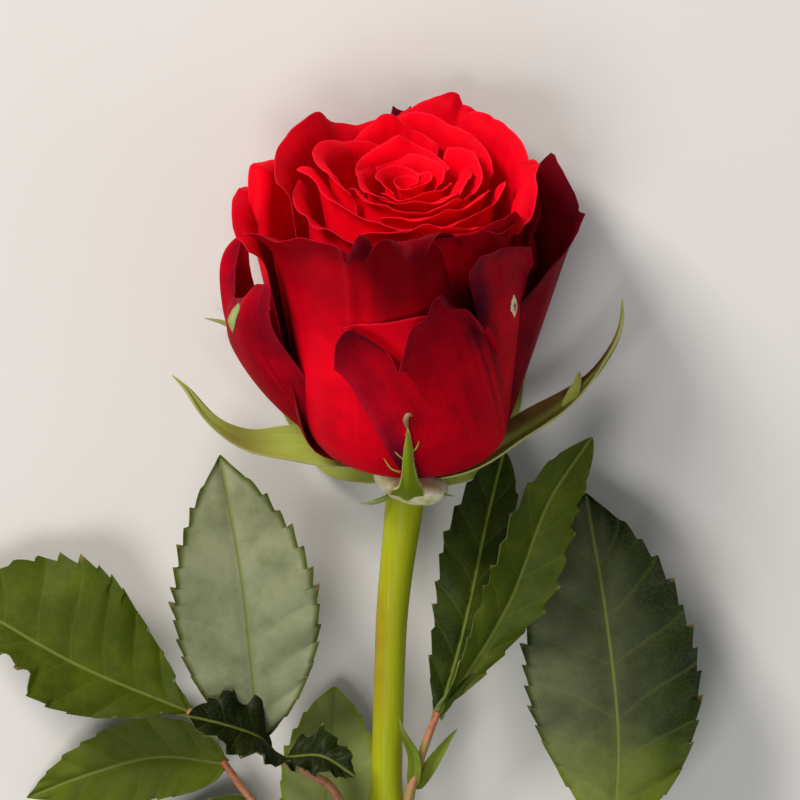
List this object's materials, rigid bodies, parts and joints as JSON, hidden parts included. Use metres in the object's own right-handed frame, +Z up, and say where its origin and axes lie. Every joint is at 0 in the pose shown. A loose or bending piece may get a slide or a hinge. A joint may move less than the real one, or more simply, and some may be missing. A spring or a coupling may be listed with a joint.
{
  "type": "cut rose stem",
  "caption": "Cut red rose lying on its side: a half-open bloom of layered petals, leafy sepals, a slim prickled stem with a slanted cut, and toothed compound leaves.",
  "frame": {"origin": "middle of the bloom's flat spot, where it rests on the table", "axes": "+Z up, +Y from the stem's cut end towards the bloom, +X to the right of someone who looks down on it with the bloom away from them"},
  "size_m": [0.145, 0.4141, 0.0531],
  "materials": {
    "petals": "velvety",
    "sepals": "matt, downy at the edges",
    "stem": "smooth green bark",
    "leaves": "waxy"
  },
  "bodies": {
    "root": {"bloom": "petals", "calyx": "sepals", "stem": "stem", "leaf_upper": "leaves", "leaf_left": "leaves", "leaf_behind": "leaves", "leaf_right": "leaves", "leaf_low_left": "leaves", "leaf_low_right": "leaves"}
  },
  "joints": []
}
